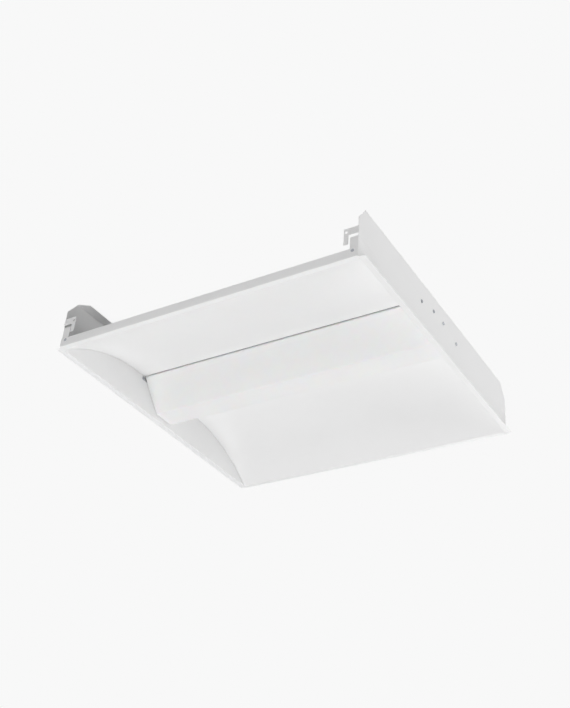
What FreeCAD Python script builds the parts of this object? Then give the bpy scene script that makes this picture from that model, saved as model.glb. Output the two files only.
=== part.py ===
import FreeCAD, Part
import math
import os

# Recessed lay-in troffer light for a 24 inch ceiling grid, in millimetres.
# X runs along the lamp from end plate to end plate, -Y is the near side and +Z is up.
# The origin is the centre of the opening, at the underside of the ceiling flanges.

# ---- driving sizes of the housing -------------------------------------------------
module_x = 603.0            # over the end plates' ceiling flanges
module_y = 603.0            # over the lips of the two reflector wings
sheet = 0.8                 # folded steel sheet
seam = 0.15                 # gap left between two folded sheets that meet
end_flange = 10.3           # ceiling flange, turned outwards from each end plate
end_flange_setback = 3.5    # mitre at each tip of that flange
plate_above_channel = 7.4   # top of an end plate above the centre channel's
plate_chamfer_y = 21.0
plate_chamfer_z = 28.5
top_return = 19.5           # flange turned inwards along the top of an end plate
top_return_mitre = 12.0

# ---- corner tabs and grid clips ---------------------------------------------------
tab_width = 14.8
tab_top = 40.0
clip_leg_gap = 2.5          # tab to the clip's leg
clip_leg_width = 8.0
clip_slot = 4.8             # height of the slot between the tab and the clip's bar
clip_bar = 13.2             # height of the clip's bar
clip_leg_drop = 17.4        # how far the leg hangs below the bar
tie_hole_radius = 2.5

# ---- reflector wings ----------------------------------------------------------------
lip_height = 17.0
wing_flat = 9.5             # ceiling flange under the lip
crown_flat = 14.7           # level strip between the curved stretch and the centre channel
wing_rise = 68.0            # height of the curved stretch
wing_upstand = 15.0         # flange turned up beside the centre channel

# ---- centre channel, its tray and the wiring compartment -----------------------------
channel_half_width = 72.3
channel_reveal = 1.0        # the channel's walls stop this far above the basket
driver_headroom = 2.4       # driver to the underside of the channel's top
tray_lift = 7.0             # tray's underside above the wings' crown
tray_leg = 8.0
tray_tab_width = 16.0
tray_tab_drop = 7.8
access_from_conduit = 25.0  # centre of the conduit entry to the access opening
access_end_gap = 50.4       # access opening to the right end plate
access_half_width = 45.0
conduit_x = 105.0
conduit_radius = 11.1       # trade half inch knockout
knockout_offset = 38.0
knockout_score_width = 0.6
knockout_score_depth = 0.5

# ---- wiring cover and its hinge --------------------------------------------------------
cover_margin = 8.0          # how far the cover laps over the access opening
cover_near_margin = 9.0     # the same, along its free edge
hinge_from_opening = 11.0
cover_hinge_height = 1.9    # hinge pin above the channel's top
cover_pin_radius = 0.9
cover_knuckle_radius = 1.6
cover_knuckle_length = 30.0
channel_knuckle_length = 12.0
cover_lift_height = 3.6     # finger lift along the free edge
cover_lift_width = 24.0
cover_lift_inset = 15.0     # finger lift to the cover's right end

# ---- basket -----------------------------------------------------------------------------
basket_top_half = 71.5
basket_bottom_half = 23.3
basket_recess = 2.0         # top of the sloping sides below the wings' crown
basket_flange = 4.5         # height of the upright flange above each sloping side
basket_bottom = 10.7
basket_wall = 2.0
basket_edge_radius = 2.0
basket_hem = 9.0
cap_thickness = 5.0
cap_gap = 0.6               # basket to end plate
catch_relief = 0.9          # depth of the hollow in an end cap for the catch spring
catch_clearance = 0.5       # around the spring in that hollow
skirt_wall = 1.5
skirt_depth = 8.0
skirt_fit = 0.2
rail_sheet = 0.6
rail_leg = 6.0
rail_lap = 9.5
dimple_radius = 2.0
dimple_depth = 0.6
catch_bump_gap = 0.3        # catch bump to basket end cap
catch_leaf = 0.5

# ---- fasteners ----------------------------------------------------------------------------
catch_beyond_hem = 4.5      # catch screw outside the basket's near top edge
pivot_inside_hem = 4.5      # the basket's swing axis inside its far top edge
hem_to_pivot = 3.6          # both of them below the top of the sloping sides
tray_screw_y = (-28.0, 12.0)
tray_screw_drop = 3.0       # below the tray's underside
pivot_radius = 2.0
pivot_fit = 0.06
pivot_ear_radius = 4.0
head_radius = 3.2
head_height = 2.0
shank_radius = 1.75
shank_length = 5.0
hole_fit = 0.1              # radial clearance of a screw in its hole
corner_screw_x = 9.5        # in from the end plate's outer face
corner_screw_drop = 4.0     # below the top of the lip
corner_head_radius = 3.0
corner_head_depth = 1.3
corner_shank_length = 8.0
cross_length = 3.6
cross_width = 0.8
cross_depth = 0.9
wing_screw_inset = 71.2     # outer screws, in from the end plate's outer face
wing_screw_inner_x = 75.0

# ---- light boards --------------------------------------------------------------------------
board_end_gap = 20.4        # board to end plate
board_width = 22.0
board_thickness = 1.2
board_from_driver = 4.0     # a board's centre line beyond the driver's side
led_size = (3.5, 2.8, 0.7)
led_pitch = 16.0
led_first_inset = 50.0      # first light source, from the board's end at the connector
led_last_inset = 25.0       # least distance of the last one from the other end
board_screw_insets = (18.0, 10.0)               # first and last screw, from the board's ends
board_screw_radius = 1.5
board_screw_head = 2.8
board_screw_head_height = 1.8
board_screw_length = 6.0
connector_size = (8.0, 12.0, 3.5)
connector_from_edge = 5.0

# ---- driver ---------------------------------------------------------------------------------
driver_from_bushing = 36.0
driver_from_conduit = 30.0
driver_width = 40.0
driver_height = 18.0
driver_wall = 0.8
driver_foot = 20.0
driver_screw_inset = 5.0
terminal_length = 10.0
terminal_height = 10.0
terminal_lift = 1.6         # above the driver's foot
input_terminal_width = 28.0
output_terminal_width = 24.0
port_radius = 1.1
port_depth = 1.0
lead_entry = 0.4            # how far a lead reaches into its port
potting_gap = 0.3

# ---- leads, disconnect and earth ---------------------------------------------------------------
lead_radius = 0.8
bushing_inset = 34.0        # bushing and connectors, from the boards' end
bushing_hole = 8.0
bushing_bore = 6.0
bushing_flange = 10.0
bushing_flange_height = 1.2
bushing_drop = 1.5
bushing_lead_x = 2.0        # each lead's place in the bushing, from its centre
red_bushing_y = 1.2
black_bushing_y = 2.6
output_port_y = (3.0, 9.0)  # inner and outer port on each side of the centre line
input_port_y = (-8.0, 0.0, 8.0)
disconnect_from_conduit = 45.0
disconnect_y = 14.0
disconnect_size = (14.0, 12.0, 10.0)
disconnect_port_spacing = 5.0
disconnect_port_height = 5.2
socket_length = 16.0
supply_steps = ((27.0, 2.0, -0.6), (-21.0, -4.0, 0.5))  # from a supply lead's ends to its bends
earth_steps = ((14.0, 1.0, -0.5), (0.0, -13.0, 0.0))    # the same for the earth lead
earth_from_conduit = 15.0
earth_y = 45.0
earth_disc_radius = 4.2
earth_screw_radius = 2.0
earth_head_radius = 3.6
earth_head_height = 2.4
earth_screw_length = 8.0
earth_tongue = (5.0, 12.0)
earth_barrel = (4.0, 6.0, 3.4)

# ---- sizes that follow from the ones above ---------------------------------------------------
plate_out_x = module_x / 2 - end_flange
plate_in_x = plate_out_x - sheet
plate_edge_y = module_y / 2 - sheet - seam
sheet_end_x = plate_in_x - seam
clip_reach = tab_width + clip_leg_gap + clip_leg_width      # end plate's outer face to the hook's tip
clip_bar_low = tab_top + clip_slot
clip_bar_top = clip_bar_low + clip_bar
clip_axis_x = plate_out_x - sheet / 2
clip_axis_y = module_y / 2 - sheet / 2
corner_screw_z = lip_height - corner_screw_drop
wing_inner_s = module_y / 2 - channel_half_width
wing_run = wing_inner_s - wing_flat - crown_flat            # level distance that the curve covers
wing_radius = (wing_run ** 2 + wing_rise ** 2) / (2 * wing_rise)
wing_screw_outer_x = plate_out_x - wing_screw_inset
wing_screw_places = (-wing_screw_outer_x, -wing_screw_inner_x, wing_screw_inner_x, wing_screw_outer_x)
channel_in_y = channel_half_width - sheet
tray_underside = wing_rise + tray_lift
tray_top = tray_underside + sheet
tray_screws_at = tuple((y, tray_underside - tray_screw_drop) for y in tray_screw_y)
wing_screw_z = tray_top + tray_leg / 2
channel_top = tray_top + driver_height + driver_headroom + sheet
plate_height = channel_top + plate_above_channel
access_x = (conduit_x + access_from_conduit, plate_in_x - access_end_gap)
cover_x = (access_x[0] - cover_margin, access_x[1] + cover_margin)
cover_mid_x = (access_x[0] + access_x[1]) / 2
cover_near_y = -access_half_width - cover_near_margin
cover_screw_y = -access_half_width - cover_margin / 2
cover_hinge_y = access_half_width + hinge_from_opening
basket_shoulder = wing_rise - basket_recess
basket_top = basket_shoulder + basket_flange
channel_low = basket_top + channel_reveal
basket_slope = math.atan2(basket_shoulder - basket_bottom, basket_top_half - basket_bottom_half)
cap_out_x = plate_in_x - cap_gap
cap_in_x = cap_out_x - cap_thickness
catch_screw = (-basket_top_half - catch_beyond_hem, basket_shoulder - hem_to_pivot)     # as (y, z)
pivot = (basket_top_half - pivot_inside_hem, basket_shoulder - hem_to_pivot)
board_half_length = plate_in_x - board_end_gap
board_low = tray_underside - board_thickness
board_centre_y = driver_width / 2 + board_from_driver
led_first_x = -board_half_length + led_first_inset
led_count = int((2 * board_half_length - led_first_inset - led_last_inset) / led_pitch) + 1
bushing_x = -board_half_length + bushing_inset
driver_x = (bushing_x + driver_from_bushing, conduit_x - driver_from_conduit)
driver_foot_top = tray_top + driver_wall
port_z = driver_foot_top + terminal_lift + terminal_height / 2
connector_mid_z = board_low - connector_size[2] / 2
disconnect_x = conduit_x + disconnect_from_conduit
earth_at = (conduit_x + earth_from_conduit, earth_y)

NODES = {}


# ---- shapes that the sections below share ------------------------------------------------------
def block(x, y, z):
    """Box between two corners, given as a pair along each axis, in either order."""
    low = [min(pair) for pair in (x, y, z)]
    size = [abs(pair[1] - pair[0]) for pair in (x, y, z)]
    return Part.makeBox(*size, FreeCAD.Vector(*low))


def rod(radius, start, end):
    """Round bar from one point to another."""
    start = FreeCAD.Vector(*start)
    along = FreeCAD.Vector(*end) - start
    return Part.makeCylinder(radius, along.Length, start, along)


def taper(start_radius, end_radius, start, end):
    """Cone between two points with a radius at each."""
    start = FreeCAD.Vector(*start)
    along = FreeCAD.Vector(*end) - start
    return Part.makeCone(start_radius, end_radius, along.Length, start, along)


def along_x(outline, x):
    """Outline of (y, z) points carried from one x to another."""
    corners = [FreeCAD.Vector(x[0], y, z) for y, z in outline]
    face = Part.Face(Part.makePolygon(corners + corners[:1]))
    return face.extrude(FreeCAD.Vector(x[1] - x[0], 0, 0))


def along_z(outline, z):
    """Outline of (x, y) points carried from one z to another."""
    corners = [FreeCAD.Vector(x, y, z[0]) for x, y in outline]
    face = Part.Face(Part.makePolygon(corners + corners[:1]))
    return face.extrude(FreeCAD.Vector(0, 0, z[1] - z[0]))


def joined(first, *others):
    """One solid from several that share faces, with the inner seams cleaned off."""
    return first.fuse(list(others)).removeSplitter()


def mirrored(half):
    """Points of a profile's near half, followed by the same points across the middle."""
    return half + [(-y, z) for y, z in reversed(half)]


def lead(points, radius):
    """Insulated wire along straight runs joined by tangent arcs."""
    places = [FreeCAD.Vector(*point) for point in points]
    edges = []
    at = places[0]
    for before, corner, after in zip(places, places[1:], places[2:]):
        back = (before - corner).normalize()
        onward = (after - corner).normalize()
        turn = math.pi - back.getAngle(onward)
        shorter = min((before - corner).Length, (after - corner).Length)
        reach = 0.45 * shorter
        bend = reach / math.tan(turn / 2)
        start = corner + back * reach
        end = corner + onward * reach
        inward = (back + onward).normalize()
        middle = corner + inward * (bend / math.cos(turn / 2) - bend)
        edges.append(Part.makeLine(at, start))
        edges.append(Part.Arc(start, middle, end).toShape())
        at = end
    edges.append(Part.makeLine(at, places[-1]))
    path = Part.Wire(edges)
    ring = Part.Wire(Part.makeCircle(radius, places[0], places[1] - places[0]))
    tube = path.makePipeShell([ring], True, False)
    expected = math.pi * radius ** 2 * path.Length
    print("lead: length %.1f, volume %.4f of section times length" % (path.Length, tube.Volume / expected))
    return tube


def keep(name, *solids):
    """Add solids to a node, which becomes one STEP file."""
    NODES.setdefault(name, []).extend(solids)


# ---- end plates ---------------------------------------------------------------------------------
def end_plate(side):
    """Folded plate with its outward ceiling flange, inward top return and two corner tabs."""
    outer = side * plate_out_x
    inner = side * plate_in_x
    shoulder = plate_height - plate_chamfer_z
    top_y = plate_edge_y - plate_chamfer_y
    plate = along_x(mirrored([(-plate_edge_y, 0), (-plate_edge_y, shoulder), (-top_y, plate_height)]),
                    (inner, outer))
    tip_x = side * module_x / 2
    tip_y = plate_edge_y - end_flange_setback
    flange = along_z([(inner, -plate_edge_y), (inner, plate_edge_y), (tip_x, tip_y), (tip_x, -tip_y)],
                     (0, sheet))
    return_x = outer - side * top_return
    return_y = top_y - top_return_mitre
    top = along_z([(outer, -top_y), (outer, top_y), (return_x, return_y), (return_x, -return_y)],
                  (plate_height - sheet, plate_height))
    tabs = [block((outer, outer - side * tab_width), (front * plate_edge_y, front * (plate_edge_y - sheet)),
                  (sheet + seam, tab_top)) for front in (-1, 1)]
    body = joined(plate, flange, top, *tabs)
    for y, z in (catch_screw,) + tray_screws_at:
        body = body.cut(rod(shank_radius + hole_fit, (inner - side, y, z), (outer + side, y, z)))
    body = body.cut(rod(pivot_radius + hole_fit, (inner - side,) + pivot, (outer + side,) + pivot))
    for front in (-1, 1):
        body = body.cut(corner_screw_hole(side, front))
    return body


def corner_screw_hole(side, front):
    """Countersunk hole through a lip and the corner tab behind it."""
    x = side * (plate_out_x - corner_screw_x)
    face = front * module_y / 2
    deep = front * (module_y / 2 - corner_shank_length - seam)
    sink = taper(corner_head_radius + hole_fit, shank_radius + hole_fit, (x, face, corner_screw_z),
                 (x, face - front * corner_head_depth, corner_screw_z))
    return sink.fuse(rod(shank_radius + hole_fit, (x, face, corner_screw_z), (x, deep, corner_screw_z)))


def corner_screw(side, front):
    """Flat head screw, flush with the lip, with a cross recess."""
    x = side * (plate_out_x - corner_screw_x)
    face = front * module_y / 2
    neck = face - front * corner_head_depth
    head = taper(corner_head_radius, shank_radius, (x, face, corner_screw_z), (x, neck, corner_screw_z))
    shank = rod(shank_radius, (x, neck, corner_screw_z),
                (x, face - front * corner_shank_length, corner_screw_z))
    screw = joined(head, shank)
    depth = (face, face - front * cross_depth)
    long_way = (-cross_length / 2, cross_length / 2)
    short_way = (-cross_width / 2, cross_width / 2)
    for width, height in ((long_way, short_way), (short_way, long_way)):
        screw = screw.cut(block([x + w for w in width], depth, [corner_screw_z + h for h in height]))
    return screw


def grid_clip(side, front):
    """Hook at a corner: a bar from the bend line at the end plate, and a leg hanging from it."""
    outer = side * plate_out_x
    tip = outer - side * clip_reach
    face = (front * module_y / 2, front * (module_y / 2 - sheet))
    axis = (side * clip_axis_x, front * clip_axis_y)
    bar = block((axis[0], tip), face, (clip_bar_low, clip_bar_top))
    leg = block((tip, tip + side * clip_leg_width), face, (clip_bar_low - clip_leg_drop, clip_bar_top))
    bend = rod(sheet / 2, axis + (clip_bar_low,), axis + (clip_bar_top,))
    hook = joined(bar, leg, bend)
    hole_x = tip + side * clip_leg_width / 2
    hole_z = clip_bar_low + clip_bar / 2
    return hook.cut(rod(tie_hole_radius, (hole_x, face[0] + front, hole_z), (hole_x, face[1] - front, hole_z)))


for side, end in ((-1, "left"), (1, "right")):
    keep("end_plate_" + end, end_plate(side))
    for front, row in ((-1, "near"), (1, "far")):
        keep("grid_clip_%s_%s" % (row, end), grid_clip(side, front))
        keep("corner_screws", corner_screw(side, front))


# ---- reflector wings ------------------------------------------------------------------------------
def reflector_wing(front):
    """Lip, ceiling flange, curved reflector and the upstand that fastens to the channel."""
    def at(s, z):
        return FreeCAD.Vector(-sheet_end_x, front * (module_y / 2 - s), z)

    def line(start, end):
        return Part.makeLine(at(*start), at(*end))

    def curve(radius, start, end):
        centre = (wing_flat + wing_run, wing_rise - wing_radius)
        angles = [math.atan2(z - centre[1], s - centre[0]) for s, z in (start, end)]
        mean = sum(angles) / 2
        middle = (centre[0] + radius * math.cos(mean), centre[1] + radius * math.sin(mean))
        return Part.Arc(at(*start), at(*middle), at(*end)).toShape()

    back_radius = wing_radius + sheet
    crown_s = wing_flat + wing_run
    back_low = crown_s - math.sqrt(back_radius ** 2 - (sheet - wing_rise + wing_radius) ** 2)
    upstand_top = wing_rise + wing_upstand
    outside = [(0, lip_height), (0, 0), (wing_flat, 0), (crown_s, wing_rise), (wing_inner_s, wing_rise),
               (wing_inner_s, upstand_top), (wing_inner_s - sheet, upstand_top),
               (wing_inner_s - sheet, wing_rise + sheet), (crown_s, wing_rise + sheet),
               (back_low, sheet), (sheet, sheet), (sheet, lip_height), (0, lip_height)]
    edges = []
    for start, end in zip(outside, outside[1:]):
        if (start, end) == ((wing_flat, 0), (crown_s, wing_rise)):
            edges.append(curve(wing_radius, start, end))
        elif (start, end) == ((crown_s, wing_rise + sheet), (back_low, sheet)):
            edges.append(curve(back_radius, start, end))
        else:
            edges.append(line(start, end))
    wing = Part.Face(Part.Wire(edges)).extrude(FreeCAD.Vector(2 * sheet_end_x, 0, 0))
    lip = block((-plate_out_x, plate_out_x), (front * module_y / 2, front * (module_y / 2 - sheet)),
                (0, lip_height))
    wing = joined(wing, lip)
    for side in (-1, 1):
        wing = wing.cut(corner_screw_hole(side, front))
    for x in wing_screw_places:
        wing = wing.cut(wing_screw_hole(x, front))
    return wing


def wing_screw_hole(x, front):
    """Hole through the wing's upstand, the channel's wall and the tray's leg."""
    outside = front * (channel_half_width + sheet + hole_fit)
    inside = front * (channel_in_y - 2 * sheet)
    return rod(shank_radius + hole_fit, (x, outside, wing_screw_z), (x, inside, wing_screw_z))


def pan_screw(face, inward, radius=head_radius, height=head_height, shank=shank_radius, length=shank_length):
    """Pan head screw: its head stands on a face and its shank runs inward from there."""
    face = FreeCAD.Vector(*face)
    inward = FreeCAD.Vector(*inward)
    head = Part.makeCylinder(radius, height, face, inward * -1)
    head = head.makeFillet(height / 2, [edge for edge in head.Edges if is_outer_rim(edge, face, inward, height)])
    return joined(head, Part.makeCylinder(shank, length, face, inward))


def is_outer_rim(edge, face, inward, height):
    """Whether an edge is the ring at the outer end of a screw's head."""
    if len(edge.Vertexes) != 1:
        return False
    return abs((edge.CenterOfMass - face).dot(inward) + height) < hole_fit


for front, row in ((-1, "near"), (1, "far")):
    keep("reflector_wing_" + row, reflector_wing(front))
    for x in wing_screw_places:
        head_seat = (x, front * (channel_half_width + sheet), wing_screw_z)
        keep("wing_screws", pan_screw(head_seat, (0, -front, 0)))


# ---- centre channel -----------------------------------------------------------------------------------
def centre_channel():
    """Inverted U between the wings, with the access opening, knockouts and hinge knuckles."""
    near = [(-channel_in_y, channel_low), (-channel_half_width, channel_low), (-channel_half_width, channel_top)]
    far = [(-y, z) for y, z in reversed(near)]
    inside = [(channel_in_y, channel_top - sheet), (-channel_in_y, channel_top - sheet)]
    body = along_x(near + far + inside, (-sheet_end_x, sheet_end_x))
    through = (channel_top - 2 * sheet, channel_top + sheet)
    body = body.cut(block(access_x, (-access_half_width, access_half_width), through))
    body = body.cut(rod(conduit_radius, (conduit_x, 0, through[0]), (conduit_x, 0, through[1])))
    for y in (-knockout_offset, knockout_offset):
        floor = (conduit_x, y, channel_top - knockout_score_depth)
        score = rod(conduit_radius, floor, (conduit_x, y, channel_top))
        core = rod(conduit_radius - knockout_score_width, floor, (conduit_x, y, channel_top))
        body = body.cut(score.cut(core))
    screw_hole = shank_radius + 8 * hole_fit
    body = body.cut(rod(screw_hole, (cover_mid_x, cover_screw_y, through[0]),
                        (cover_mid_x, cover_screw_y, through[1])))
    for front in (-1, 1):
        for x in wing_screw_places:
            body = body.cut(wing_screw_hole(x, front))
    return joined(body, *[channel_knuckle(side) for side in (-1, 1)])


def hinge_run(side):
    """Where a channel knuckle starts and ends along the hinge."""
    start = cover_mid_x + side * (cover_knuckle_length / 2 + 2 * seam)
    return (start, start + side * channel_knuckle_length)


def channel_knuckle(side):
    """Knuckle on a foot that stands on the channel's top."""
    start, end = hinge_run(side)
    axis_z = channel_top + cover_hinge_height
    foot = block((start, end), (cover_hinge_y - cover_knuckle_radius, cover_hinge_y + cover_knuckle_radius),
                 (channel_top, axis_z))
    barrel = rod(cover_knuckle_radius, (start, cover_hinge_y, axis_z), (end, cover_hinge_y, axis_z))
    bore = rod(cover_pin_radius + pivot_fit, (start - side, cover_hinge_y, axis_z),
               (end + side, cover_hinge_y, axis_z))
    return foot.fuse(barrel).cut(bore)


def wiring_cover():
    """Flat cover over the access opening, with its knuckle and a finger lift."""
    axis_z = channel_top + cover_hinge_height
    under_knuckle = axis_z - cover_knuckle_radius
    knuckle_x = (cover_mid_x - cover_knuckle_length / 2, cover_mid_x + cover_knuckle_length / 2)
    far_edge = cover_hinge_y - 2 * cover_knuckle_radius
    plate = block(cover_x, (cover_near_y, far_edge), (channel_top, channel_top + sheet))
    web = block(knuckle_x, (far_edge - sheet, cover_hinge_y), (under_knuckle, channel_top + sheet))
    barrel = rod(cover_knuckle_radius, (knuckle_x[0], cover_hinge_y, axis_z), (knuckle_x[1], cover_hinge_y, axis_z))
    lift_end = cover_x[1] - cover_lift_inset
    lift = block((lift_end - cover_lift_width, lift_end), (cover_near_y, cover_near_y + sheet),
                 (channel_top, channel_top + sheet + cover_lift_height))
    cover = joined(plate, web, barrel, lift)
    cover = cover.cut(rod(cover_pin_radius + pivot_fit, (knuckle_x[0] - 1, cover_hinge_y, axis_z),
                          (knuckle_x[1] + 1, cover_hinge_y, axis_z)))
    return cover.cut(rod(shank_radius + hole_fit, (cover_mid_x, cover_screw_y, channel_top),
                         (cover_mid_x, cover_screw_y, channel_top + sheet)))


def cover_hinge_pin():
    """Straight pin through the three knuckles."""
    axis_z = channel_top + cover_hinge_height
    return rod(cover_pin_radius, (hinge_run(-1)[1], cover_hinge_y, axis_z), (hinge_run(1)[1], cover_hinge_y, axis_z))


keep("centre_channel", centre_channel())
keep("wiring_cover", wiring_cover())
keep("cover_hinge_pin", cover_hinge_pin())
keep("cover_screw", pan_screw((cover_mid_x, cover_screw_y, channel_top + sheet), (0, 0, -1)))


# ---- tray, light boards and their parts ---------------------------------------------------------------
def led_tray():
    """Tray across the channel: legs turned up at its sides, tabs turned down at its ends."""
    half = channel_in_y - seam
    outline = [(-half, tray_top + tray_leg), (-half, tray_underside), (half, tray_underside),
               (half, tray_top + tray_leg), (half - sheet, tray_top + tray_leg), (half - sheet, tray_top),
               (-half + sheet, tray_top), (-half + sheet, tray_top + tray_leg)]
    body = along_x(outline, (-sheet_end_x, sheet_end_x))
    tabs = []
    for side in (-1, 1):
        for y, _ in tray_screws_at:
            tabs.append(block((side * (sheet_end_x - sheet), side * sheet_end_x),
                              (y - tray_tab_width / 2, y + tray_tab_width / 2),
                              (tray_underside - tray_tab_drop, tray_top)))
    body = joined(body, *tabs)
    for side in (-1, 1):
        for y, z in tray_screws_at:
            body = body.cut(rod(shank_radius + hole_fit, (side * (sheet_end_x - 2 * sheet), y, z),
                                (side * sheet_end_x, y, z)))
    for front in (-1, 1):
        for x in wing_screw_places:
            body = body.cut(wing_screw_hole(x, front))
        for x in board_screw_x():
            body = body.cut(tray_hole(board_screw_radius + hole_fit, x, front * board_centre_y))
    for x in driver_screw_x():
        body = body.cut(tray_hole(board_screw_radius + hole_fit, x, 0))
    body = body.cut(tray_hole(bushing_hole, bushing_x, 0))
    return body.cut(tray_hole(earth_screw_radius + hole_fit, *earth_at))


def tray_hole(radius, x, y):
    """Upright hole through the tray."""
    return rod(radius, (x, y, tray_underside - sheet), (x, y, tray_top + sheet))


def board_screw_x():
    """Screw places along a light board: one at each end and two midway between light sources."""
    steps = (led_count // 4 + 1, 2 * led_count // 3 - 1)
    middle = [led_first_x + (step + 0.5) * led_pitch for step in steps]
    return [board_screw_insets[0] - board_half_length] + middle + [board_half_length - board_screw_insets[1]]


def driver_screw_x():
    """Screw places in the driver's two feet."""
    reach = driver_foot - driver_screw_inset
    return (driver_x[0] - reach, driver_x[1] + reach)


def led_board(front):
    """Printed board against the tray's underside."""
    middle = front * board_centre_y
    body = block((-board_half_length, board_half_length), (middle - board_width / 2, middle + board_width / 2),
                 (board_low, tray_underside))
    for x in board_screw_x():
        body = body.cut(rod(board_screw_radius + hole_fit, (x, middle, board_low), (x, middle, tray_underside)))
    return body


def led_packages(front):
    """Row of light sources under a board."""
    length, width, height = led_size
    middle = front * board_centre_y
    row = []
    for step in range(led_count):
        x = led_first_x + step * led_pitch
        row.append(block((x - length / 2, x + length / 2), (middle - width / 2, middle + width / 2),
                         (board_low - height, board_low)))
    return row


def board_connector(front):
    """Wire connector under a board, with two ports facing the middle."""
    length, width, height = connector_size
    inner = board_centre_y - board_width / 2 + connector_from_edge
    body = block((bushing_x - length / 2, bushing_x + length / 2), (front * inner, front * (inner + width)),
                 (board_low - height, board_low))
    for x in (bushing_x - bushing_lead_x, bushing_x + bushing_lead_x):
        body = body.cut(rod(port_radius, (x, front * inner, connector_mid_z),
                            (x, front * (inner + port_depth), connector_mid_z)))
    return body


keep("led_tray", led_tray())
for front, row in ((-1, "near"), (1, "far")):
    keep("led_board_" + row, led_board(front))
    keep("led_packages_" + row, *led_packages(front))
    keep("board_connectors", board_connector(front))
    for x in board_screw_x():
        keep("board_screws", pan_screw((x, front * board_centre_y, board_low), (0, 0, 1), board_screw_head,
                                       board_screw_head_height, board_screw_radius, board_screw_length))


# ---- driver ----------------------------------------------------------------------------------------------
def driver_base():
    """Flat base with a foot at each end, screwed to the tray."""
    body = block((driver_x[0] - driver_foot, driver_x[1] + driver_foot), (-driver_width / 2, driver_width / 2),
                 (tray_top, driver_foot_top))
    for x in driver_screw_x():
        body = body.cut(rod(board_screw_radius + hole_fit, (x, 0, tray_top), (x, 0, driver_foot_top)))
    return body


def driver_case():
    """Steel case, open underneath, that stands on the base."""
    top = tray_top + driver_height
    shell = block(driver_x, (-driver_width / 2, driver_width / 2), (driver_foot_top, top))
    return shell.cut(driver_room(0))


def driver_room(gap):
    """Space inside the driver's case, less a gap all round."""
    inset = driver_wall + gap
    return block((driver_x[0] + inset, driver_x[1] - inset),
                 (-driver_width / 2 + inset, driver_width / 2 - inset),
                 (driver_foot_top, tray_top + driver_height - inset))


def terminal(end_x, outward, width, ports):
    """Push-in terminal on the end of the driver, with a port for each lead."""
    low = driver_foot_top + terminal_lift
    tip = end_x + outward * terminal_length
    body = block((end_x, tip), (-width / 2, width / 2), (low, low + terminal_height))
    for y in ports:
        body = body.cut(rod(port_radius, (tip, y, port_z), (tip - outward * port_depth, y, port_z)))
    return body


keep("driver_base", driver_base())
keep("driver_case", driver_case())
keep("driver_potting", driver_room(potting_gap))
output_ports = [front * y for front in (-1, 1) for y in output_port_y]
keep("driver_output_terminal", terminal(driver_x[0], -1, output_terminal_width, output_ports))
keep("driver_input_terminal", terminal(driver_x[1], 1, input_terminal_width, input_port_y))
for x in driver_screw_x():
    keep("driver_screws", pan_screw((x, 0, driver_foot_top), (0, 0, -1), board_screw_head,
                                    board_screw_head_height, board_screw_radius, board_screw_length))


# ---- bushing, leads, disconnect and earth --------------------------------------------------------------------
def tray_bushing():
    """Flanged plastic bushing in the tray's lead hole."""
    flange = rod(bushing_flange, (bushing_x, 0, tray_top), (bushing_x, 0, tray_top + bushing_flange_height))
    neck = rod(bushing_hole - hole_fit, (bushing_x, 0, tray_underside - bushing_drop), (bushing_x, 0, tray_top))
    bore = rod(bushing_bore, (bushing_x, 0, tray_underside - bushing_drop),
               (bushing_x, 0, tray_top + bushing_flange_height))
    return joined(flange, neck).cut(bore)


def output_lead(front, port_y, bush_x, bush_y):
    """Lead from the driver, down through the bushing and across to a board's connector."""
    start_x = driver_x[0] - terminal_length + lead_entry
    end_y = board_centre_y - board_width / 2 + connector_from_edge + lead_entry
    drop_x = bushing_x + bush_x
    return lead([(start_x, front * port_y, port_z), (drop_x, front * bush_y, port_z),
                 (drop_x, front * bush_y, connector_mid_z), (drop_x, front * end_y, connector_mid_z)],
                lead_radius)


def lead_route(port_y, steps, end):
    """Points of a lead from the driver's input terminal, with a bend a step away from each end."""
    start = (driver_x[1] + terminal_length - lead_entry, port_y, port_z)
    bends = [tuple(a + b for a, b in zip(point, step)) for point, step in zip((start, end), steps)]
    return [start] + bends + [end]


def supply_route(port_y, end_y):
    """Points of a supply lead from the driver to the disconnect."""
    return lead_route(port_y, supply_steps, (disconnect_x + lead_entry, end_y, tray_top + disconnect_port_height))


def disconnect_half(x, ports_at):
    """Half of the two-pole disconnect, with its two lead ports."""
    body = block(x, (disconnect_y - disconnect_size[1] / 2, disconnect_y + disconnect_size[1] / 2),
                 (tray_top, tray_top + disconnect_size[2]))
    toward = (ports_at - sum(x) / 2) / abs(ports_at - sum(x) / 2)
    for y in disconnect_port_y():
        z = tray_top + disconnect_port_height
        body = body.cut(rod(port_radius, (ports_at, y, z), (ports_at - toward * port_depth, y, z)))
    return body


def disconnect_port_y():
    """The two lead ports' places across the disconnect."""
    return (disconnect_y - disconnect_port_spacing / 2, disconnect_y + disconnect_port_spacing / 2)


def earth_terminal():
    """Ring tongue terminal under the earth screw, with its crimp barrel."""
    x, y = earth_at
    disc = rod(earth_disc_radius, (x, y, tray_top), (x, y, tray_top + sheet))
    tongue_end = y - earth_tongue[1]
    tongue = block((x - earth_tongue[0] / 2, x + earth_tongue[0] / 2), (y, tongue_end), (tray_top, tray_top + sheet))
    barrel = block((x - earth_barrel[0] / 2, x + earth_barrel[0] / 2), (tongue_end, tongue_end - earth_barrel[1]),
                   (tray_top, tray_top + earth_barrel[2]))
    hole = rod(earth_screw_radius + hole_fit, (x, y, tray_top), (x, y, tray_top + sheet))
    return joined(disc, tongue, barrel).cut(hole)


def earth_route():
    """Points of the earth lead, from the driver to the crimp barrel."""
    x, y = earth_at
    end = (x, y - earth_tongue[1] - earth_barrel[1], tray_top + earth_barrel[2] / 2)
    return lead_route(input_port_y[2], earth_steps, end)


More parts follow.
